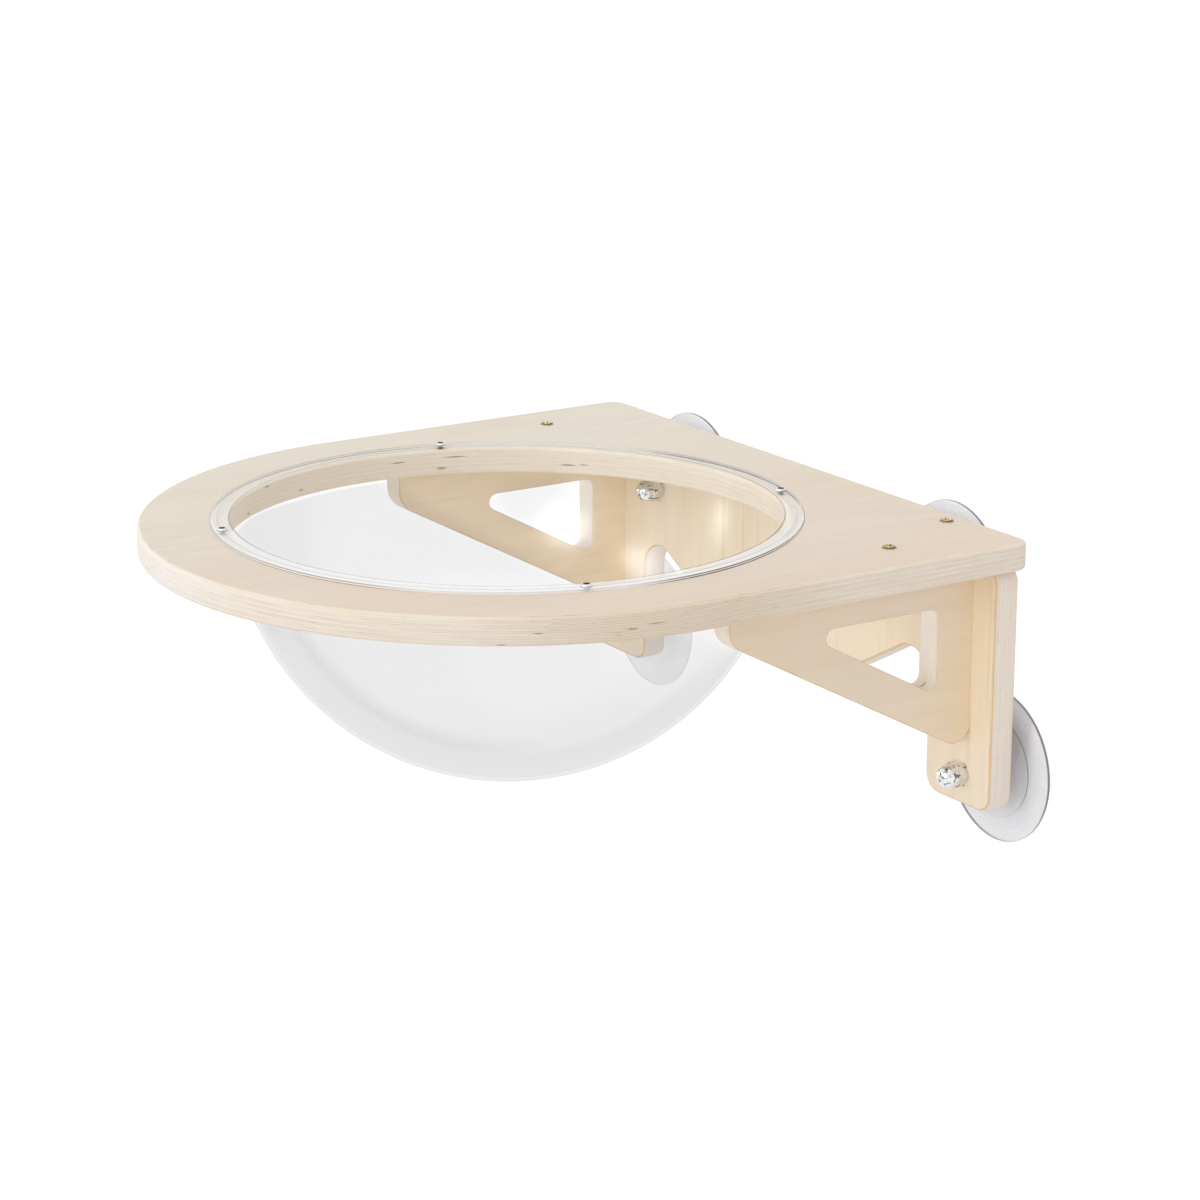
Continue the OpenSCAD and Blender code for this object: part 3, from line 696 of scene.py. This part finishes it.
# Painted light: the left bracket's face is a lighter copy of the right's, against the shade it lies in under
# the board.
bracket_face = {side: veneer(f"veneer_bracket_{side}", 1, 2, seed, warm, cool, (1, -0.028, -0.075), 0.12)
                for side, seed, warm, cool in (("left", 11.0, srgb(253, 230, 192), srgb(252, 232, 203)),
                                               ("right", 17.0, srgb(246, 224, 192), srgb(245, 227, 206)))}


def seated(loop):
    """A bracket's edge is sharp along its top and its back, where it meets the board and the panel,
    and barely eased round the window."""
    if loop[:, 1].max() < BEARING:
        return np.full(len(loop), WINDOW_EASE)
    return np.where((loop > BEARING).any(1), SEATED_EASE, 1.0)


for side, sign in (("left", -1), ("right", 1)):
    low_x = sign * BRACKET_X - PLY / 2
    # Painted light: the window's edge is a paler copy of the bracket's edge, lighter against the shade inside
    # the window.
    edge = [ply_edge(f"edge_bracket_{side}", 0, low_x, 21.0 + sign, 0.8, (0.5, srgb(254, 242, 230))),
            ply_edge(f"edge_window_{side}", 0, low_x, 24.0 + sign, 0.3, (0.85, srgb(255, 248, 238)),
                     WINDOW_BURN)]
    points, parts = plate(
        [bracket_loop, (window_loop, -window_normal)], PLY,
        lambda a, b, d: np.stack([low_x + d, PANEL_FRONT + a, BOARD_UNDER + b], 1),
        bracket_face[side], edge, EASED * BRACKET_EASE, seated)
    finish_plate(f"bracket_plate_{side}", points, parts, f"bracket_{side}")

# The back panel: a plywood board with a leg at each end and a notch beside each leg. The cups'
# studs come through it, and it is screwed to the brackets from behind.

PANEL_HALF, LEG_IN, FOOT = 0.194, 0.139, -0.136
MIDDLE_LOW, NOTCH_R, NOTCH_DROP, NOTCH_SLOPE = -0.085, 0.017, 0.059, math.radians(29)
MIDDLE_R, FOOT_R, SHOULDER_R, STUD_HOLE_R, PANEL_EASED = 0.004, 0.010, 0.008, 0.00425, 0.0012
CUP_SPOTS = {"upper_left": (-0.125, 0.048), "upper_right": (0.125, 0.048),
             "lower_left": (-0.169, -0.048), "lower_right": (0.169, -0.048)}

crown = np.array([LEG_IN - NOTCH_R, -NOTCH_DROP - NOTCH_R])
slope_top = crown + NOTCH_R * np.array([-math.sin(NOTCH_SLOPE), math.cos(NOTCH_SLOPE)])
middle_end = slope_top[0] + (MIDDLE_LOW - slope_top[1]) / math.tan(NOTCH_SLOPE)
notch_peak = slope_top[1] + (LEG_IN - slope_top[0]) * math.tan(NOTCH_SLOPE)
right_half = [(middle_end, MIDDLE_LOW, MIDDLE_R), (LEG_IN, notch_peak, NOTCH_R), (LEG_IN, FOOT, FOOT_R),
              (PANEL_HALF, FOOT, FOOT_R), (PANEL_HALF, 0.0, SHOULDER_R)]
panel_corners = right_half + [(-a, b, r) for a, b, r in right_half[::-1]]
panel_loop = rounded_loop([(a, b) for a, b, _ in panel_corners], [r for _, _, r in panel_corners])
stud_turn = np.linspace(0, 2 * math.pi, 40, endpoint=False)
stud_ring = np.stack([np.cos(stud_turn), np.sin(stud_turn)], 1)
panel_loops = [panel_loop] + [(np.array([x, z - BOARD_UNDER]) + STUD_HOLE_R * stud_ring, -stud_ring)
                              for x, z in CUP_SPOTS.values()]
# Painted light: the panel's upper part, seen through the bowl under the board, is lighter and warmer than its
# legs below.
panel_face = veneer("veneer_panel", 2, 0, 31.0, srgb(253, 237, 210), srgb(241, 223, 199),
                    (2, 0.015, -0.04), 0.35, 0.5)
panel_edge = ply_edge("edge_panel", 1, PANEL_FRONT, 33.0, 0.85, (0.65, srgb(252, 240, 229)))
points, parts = plate(panel_loops, PLY, lambda a, b, d: np.stack([a, PANEL_FRONT + d, BOARD_UNDER + b], 1),
                      panel_face, [panel_edge], PANEL_EASED)
finish_plate("rear_panel", points, parts, "back_panel")

# The wood screws: yellow-plated, with raised countersunk heads. Three show on the board, and four
# more run from the panel's back into the brackets.

WOOD_R, WOOD_H, WOOD_SINK, WOOD_SHANK_R, WOOD_LENGTH = 0.0034, 0.0018, 0.002, 0.002, 0.030
REAR_UPPER_DROP, REAR_LOWER_RISE = 0.035, 0.0255

brassy = bright_metal("yellow_plate", srgb(204, 184, 146), 0.22, 0.6, srgb(138, 112, 76))
wood_profile, wood_top = screw_profile(WOOD_R, WOOD_H, WOOD_SINK, WOOD_SHANK_R, WOOD_LENGTH, 0.0006, 150)
wood_points, wood_quads, wood_fans = turned(
    wood_profile, segments=72, thread=(-0.0285, -0.012, 0.0018, 0.0006),
    recess=(wood_top - 1, 0.0048, 0.0013, 0.0015))
# Painted shadow: the faces under each wood screw's rim and in its driver recess take the dark recess metal.
wood_rim = np.hypot(wood_points[:, 0], wood_points[:, 1])[wood_quads].min(1) > WOOD_R * 0.983
wood_shadowed = sunk(wood_points, wood_quads, reach=0.0013, level=0.002) | wood_rim
wood_parts = [(wood_quads[~wood_shadowed], brassy, True), (wood_quads[wood_shadowed], recess_dark, True),
              (wood_fans, recess_dark, True)]
for number, (node, (x, y)) in enumerate(TOP_SCREWS.items()):
    turn = np.array(Matrix.Rotation(0.5 + 0.9 * number, 3, "Z"))
    build_piece(f"wood_{node}", wood_points @ turn.T + np.array([x, y, BOARD_TOP]), wood_parts,
                "perch_frame", [node])
lying = np.stack([wood_points[:, 0], wood_points[:, 2], -wood_points[:, 1]], 1)
for side, sign in (("left", -1), ("right", 1)):
    for level, drop in (("upper", REAR_UPPER_DROP), ("lower", HEEL_H - REAR_LOWER_RISE)):
        node = f"bracket_rear_screw_{side}_{level}"
        spot = np.array([sign * BRACKET_X, PANEL_BACK, BOARD_UNDER - drop])
        build_piece(f"wood_{node}", lying + spot, wood_parts, "perch_frame", [node])

# The four suction cups: clear soft plastic, moulded round the head of a stud. A thin lip with a
# fine step rises to a hub that bears on the panel, and the window side is hollow.

CUP_R, CUP_H, CUP_LIP, CUP_STEP_R, CUP_HUB_R = 0.043, 0.012, 0.0016, 0.0285, 0.013
CUP_HOLLOW, CUP_HOLLOW_R, SHANK_FIT_R, HEAD_FIT_R = 0.0026, 0.035, 0.00402, 0.00702


def outward_from_window(points, x, z):
    """Turns local +Z, a cup's axis, into the room, and sets the axis at x and z on the window."""
    return np.stack([points[:, 0] + x, -points[:, 2], points[:, 1] + z], 1)


step_foot = CUP_LIP + (CUP_H - CUP_LIP) * 0.14
step_top = step_foot + 0.0007
hub_foot = CUP_H - (CUP_H - step_top) * 0.3
hollow = np.linspace(0, 1, 26)
dome = np.linspace(0, 1, 30)
pocket_top, pocket_floor = CUP_H - 0.0022, CUP_H - 0.0072
cup_profile = np.concatenate([
    [[0, CUP_HOLLOW]],
    np.column_stack([CUP_HOLLOW_R * hollow[1:], CUP_HOLLOW * np.cos(hollow[1:] * math.pi / 2)]),
    arc((CUP_R - 0.0004, 0.0004), 0.0004, -90, 0, 4),
    arc((CUP_R - 0.0005, CUP_LIP - 0.0005), 0.0005, 0, 80, 4),
    np.column_stack([np.linspace(CUP_R - 0.002, CUP_STEP_R + 0.0006, 8),
                     np.linspace(CUP_LIP + 0.0002, step_foot - 0.00006, 8)]),
    [[CUP_STEP_R + 0.0001, step_foot], [CUP_STEP_R, step_foot + 0.0001],
     [CUP_STEP_R - 0.0001, step_top - 0.0001], [CUP_STEP_R - 0.0002, step_top]],
    np.column_stack([CUP_STEP_R + (CUP_HUB_R - CUP_STEP_R) * dome[1:],
                     step_top + (hub_foot - step_top) * (1 - np.cos(dome[1:] * math.pi)) / 2]),
    arc((CUP_HUB_R - 0.0005, CUP_H - 0.0005), 0.0005, 0, 90, 4),
    [[SHANK_FIT_R, CUP_H], [SHANK_FIT_R, pocket_top], [HEAD_FIT_R, pocket_top], [HEAD_FIT_R, pocket_floor],
     [0, pocket_floor]]])
cup_points, cup_quads, cup_fans = turned(cup_profile, segments=160)


def cup_plastic():
    """Soft clear plastic: hazier toward the hub, clearer on the lower left cup as painted light where
    that cup lies in shade behind the bowl, and dull violet as painted shade where the lower cups
    lie in the panel's shade."""
    soft = Finish("soft_clear_plastic")
    x, y, z = soft.place()
    haze = soft.cloud(x * 25.0, y * 25.0, z * 25.0)
    low, left = z.ramp(0.002, -0.002), x.ramp(0.05, -0.05)
    from_axis = soft.length(x.size() - 0.125 - low * 0.044, 0.0, z - 0.048 + low * 0.096)
    shaded = x.size().ramp(0.1990, 0.1943) * z.ramp(-0.085, -0.02) * low * 0.6
    tone = soft.blend(haze, srgb(224, 224, 228), srgb(216, 216, 221))
    body = soft.add("BsdfPrincipled", None, {
        "Base Color": soft.blend(shaded, tone, srgb(150, 138, 148)),
        "Roughness": 0.2 + haze * 0.08, "IOR": 1.5})
    # Painted light: the lower left cup is made clearer, so that it shows lighter.
    cloudy = (0.29 + from_axis.ramp(0.040, 0.022) * 0.26 + shaded * 0.15) * (1.0 - low * left * 0.75)
    return soft.surface(shared(soft, cloudy, see_through(soft, 0.945, 0.945, 0.95), body))


def cup_edge():
    """The cut edges of the cup's lip and of its step: painted shade, darker where they face right and
    up, and fainter on the lower left cup, as painted light where it lies in shade."""
    lip = Finish("cup_lip_edge")
    x, y, z = lip.place()
    haze = lip.cloud(x * 90.0, y * 90.0, z * 90.0)
    right, _, up = lip.facing()
    lower_left = x.ramp(0.05, -0.05) * z.ramp(0.002, -0.002)
    # Painted shade: the edges darken by how far they face right and up.
    painted_edge_shade = (right * 0.85 + up * 0.5).ramp(-0.45, 0.75) * (1.0 - lower_left * 0.75)
    dark = lip.blend(haze, srgb(124, 124, 127), srgb(146, 145, 148))
    body = lip.add("BsdfPrincipled", None, {
        "Base Color": lip.blend(painted_edge_shade, srgb(228, 228, 231), dark), "Roughness": 0.25 + haze * 0.1, "IOR": 1.5})
    dense = (0.25 + painted_edge_shade * 0.75) * (1.0 - lower_left * 0.5)
    return lip.surface(shared(lip, dense, see_through(lip, 0.945, 0.945, 0.95), body))


soft, lip = cup_plastic(), cup_edge()
quad_r = np.hypot(cup_points[cup_quads, 0], cup_points[cup_quads, 1]).mean(1)
on_lip = (quad_r > CUP_R - 0.0007) | (abs(quad_r - CUP_STEP_R) < 0.00012)
for spot, (x, z) in CUP_SPOTS.items():
    build_piece(f"soft_cup_{spot}", outward_from_window(cup_points, x, z),
                [(cup_quads[~on_lip], soft, True), (cup_quads[on_lip], lip, True), (cup_fans, soft, True)],
                f"cup_{spot}", [f"suction_cup_{spot}"])

# The studs: M8 machine screws whose heads are moulded into the cups. Their rolled threads show
# between a cup and the panel once the nut has been turned back.

STUD_R, STUD_LENGTH, THREAD_PITCH, THREAD_GROOVE = 0.004, 0.037, 0.00125, 0.0006

zinc = bright_metal("zinc_thread", srgb(190, 190, 188), 0.32, 0.5, srgb(120, 118, 112))
thread_lines = np.linspace(0.0101, 0.0362, 250)
stud_profile = np.concatenate([
    [[0, 0.0048]], arc((0.0066, 0.0052), 0.0004, -90, 0, 3), arc((0.0066, 0.0094), 0.0004, 0, 90, 3),
    [[0.0045, 0.0098], [STUD_R, 0.0099]], np.column_stack([np.full(250, STUD_R), thread_lines]),
    [[0.0034, STUD_LENGTH - 0.0001], [0.0030, STUD_LENGTH], [0, STUD_LENGTH]]])
stud_points, stud_quads, stud_fans = turned(
    stud_profile, segments=48, thread=(0.0105, STUD_LENGTH - 0.0004, THREAD_PITCH, THREAD_GROOVE))
for spot, (x, z) in CUP_SPOTS.items():
    build_piece(f"stud_{spot}", outward_from_window(stud_points, x, z),
                [(stud_quads, zinc, True), (stud_fans, zinc, False)],
                f"cup_{spot}", [f"cup_stud_{spot}"])

# The cap nuts: chromed, a bevelled hexagon under a round cap, run on the studs by hand against
# the panel's front.

NUT_FLATS, NUT_HEX_H, NUT_H, CAP_R = 0.0065, 0.0065, 0.015, 0.00625
BORE_R, BORE_DEEP = 0.00405, 0.011


def hexagon(turn):
    """The distance to a hexagon's side, over the distance to the middle of a flat."""
    return 1 / np.cos((turn + math.pi / 6) % (math.pi / 3) - math.pi / 6)


nut_turn = np.linspace(0, 2 * math.pi, 120, endpoint=False)
shape = hexagon(nut_turn)
bevel = (shape * NUT_FLATS - NUT_FLATS) * 0.55
nut_profile = [
    (BORE_R, BORE_DEEP), (BORE_R, 0.0006), (BORE_R + 0.0006, 0.0), (NUT_FLATS * 0.985, 0.0),
    (NUT_FLATS * shape, bevel + 0.0001), (NUT_FLATS * shape, NUT_HEX_H - bevel - 0.0001),
    (NUT_FLATS * 0.985, NUT_HEX_H), (CAP_R + 0.0002, NUT_HEX_H + 0.00002),
    (CAP_R - 0.0001, NUT_HEX_H + 0.0003), (CAP_R - 0.0001, NUT_H - CAP_R - 0.0004),
    *arc((0, NUT_H - CAP_R), CAP_R, 0, 88, 20)]
nut_lines = [np.stack([radius * np.cos(nut_turn), radius * np.sin(nut_turn), height + 0 * nut_turn], 1)
             for radius, height in nut_profile]
rows, columns = len(nut_lines), len(nut_turn)
nut_quads = grid_quads(rows, columns, False, True).reshape(rows - 1, columns, 4)
nut_fans = pole_fans(rows, columns)
flat_up = np.array(Matrix.Rotation(math.pi / 6, 3, "Z"))
nut_points = np.concatenate(nut_lines + [[[0, 0, BORE_DEEP], [0, 0, NUT_H]]])
nut_points = nut_points @ flat_up.T + [0, 0, -PANEL_FRONT]
# Painted reflections: grey mottled patches and dark flecks stand for the room mirrored in the chrome.
chrome = Finish("chrome_plate")
x, y, z = chrome.place()
fleck_and_reflection = chrome.cloud(x * 420.0, y * 300.0, z * 420.0, 1.0, 0.4, 0.8)
mottle = chrome.cloud(x * 900.0, y * 900.0, z * 900.0)
tone = chrome.blend(mottle.ramp(0.4, 0.7) * 0.5, srgb(238, 240, 242), srgb(176, 176, 178))
chrome = chrome.surface(chrome.add("BsdfPrincipled", None, {
    "Base Color": chrome.blend(fleck_and_reflection.ramp(0.57, 0.66) * 0.9, tone, srgb(108, 108, 112)),
    "Metallic": 1.0, "Roughness": 0.06 + mottle * 0.06}))
for spot, (x, z) in CUP_SPOTS.items():
    build_piece(f"dome_nut_{spot}", outward_from_window(nut_points, x, z),
                [(nut_quads[:4].reshape(-1, 4), chrome, True), (nut_quads[4], chrome, False),
                 (nut_quads[5:].reshape(-1, 4), chrome, True), (nut_fans, chrome, True)],
                f"nut_{spot}", [f"cap_nut_{spot}"])

# The studio: a wide pale floor well below the bed, an even white surround, soft lamps in front, at
# the left and above, and the camera where the photograph was taken.

FLOOR_Z, FLOOR_REACH, FLOOR_LINES = -0.50, 14.0, 9
LAMP_AIM, LAMP_AWAY = Vector((0.0, -0.21, 0.09)), 1.6
# Each sun: name, direction it shines from, strength, spread in degrees. Each soft lamp: name,
# direction, width, height, power.
SUNS = (("front", (-0.04, -0.98, 0.17), 0.46, 40), ("above", (-0.1, -0.2, 1.0), 0.64, 60),
        ("left", (-0.9, -0.25, 0.3), 0.20, 50), ("low", (0.42, -0.90, 0.06), 0.24, 20))
SOFT_LAMPS = (("softbox_right", (0.454, -0.799, 0.396), 0.62, 0.48, 9.5),
              ("softbox_left", (-0.230, -0.853, 0.470), 0.62, 0.27, 5.0),
              ("strip", (-0.765, -0.63, 0.06), 0.28, 0.46, 4.5))

scene = bpy.context.scene
floor_paint = Finish("studio_floor")
x, y, z = floor_paint.place()
grain = floor_paint.cloud(x * 30.0, y * 30.0, z)
glow = floor_paint.add("Emission", None, {
    "Color": (1, 1, 1, 1), "Strength": seen_directly(floor_paint) * 0.27})
paint = floor_paint.add("BsdfPrincipled", None, {
    "Base Color": floor_paint.blend(grain, (0.80, 0.80, 0.80), (0.82, 0.82, 0.82)), "Roughness": 0.9,
    "Specular IOR Level": 0.0})
floor_paint = floor_paint.surface(floor_paint.add("AddShader", None, {0: paint, 1: glow}))
reach = np.linspace(-FLOOR_REACH, FLOOR_REACH, FLOOR_LINES)
level = np.full((FLOOR_LINES, FLOOR_LINES), FLOOR_Z)
floor_points = np.stack([*np.meshgrid(reach, reach), level], -1).reshape(-1, 3)
floor_mesh = bpy.data.meshes.new("floor")
floor_mesh.from_pydata(floor_points.tolist(), [], grid_quads(FLOOR_LINES, FLOOR_LINES).tolist())
floor_mesh.materials.append(floor_paint)
floor = bpy.data.objects.new("floor", floor_mesh)
scene.collection.objects.link(floor)

sky = Finish("studio", bpy.data.worlds.new("studio"))
surround = sky.add("Background", None, {"Color": (1, 1, 1, 1), "Strength": 0.72 + seen_directly(sky) * 0.28})
scene.world = sky.surface(surround, "OutputWorld")


def hold(lamp, toward):
    """An object that carries a lamp and is turned so that the light comes from a direction."""
    holder = bpy.data.objects.new(lamp.name, lamp)
    holder.rotation_euler = Vector(toward).to_track_quat("Z", "Y").to_euler()
    scene.collection.objects.link(holder)
    return holder


for name, toward, strength, spread in SUNS:
    lamp = bpy.data.lights.new(name, "SUN")
    lamp.energy, lamp.angle = strength, math.radians(spread)
    hold(lamp, toward)
for name, toward, width, height, power in SOFT_LAMPS:
    lamp = bpy.data.lights.new(name, "AREA")
    lamp.shape, lamp.size, lamp.size_y, lamp.energy = "ELLIPSE", width, height, power
    holder = hold(lamp, toward)
    holder.location = LAMP_AIM + LAMP_AWAY * Vector(toward).normalized()
    holder.visible_camera = holder.visible_diffuse = False

AZIMUTH, ELEVATION, ROLL = math.radians(56.9138), math.radians(16.1542), math.radians(0.0719)
CAMERA_SPOT, LENS = (1.53810, -1.15232, 0.55956), 102.976
camera_data = bpy.data.cameras.new("camera")
camera_data.sensor_width, camera_data.lens = 36.0, LENS
camera_data.clip_start, camera_data.clip_end = 0.05, 60.0
camera = bpy.data.objects.new("camera", camera_data)
camera.matrix_world = (Matrix.Translation(CAMERA_SPOT) @ Matrix.Rotation(AZIMUTH, 4, "Z")
                       @ Matrix.Rotation(math.pi / 2 - ELEVATION, 4, "X") @ Matrix.Rotation(ROLL, 4, "Z"))
scene.collection.objects.link(camera)
scene.camera = camera
scene.view_settings.view_transform = "Standard"
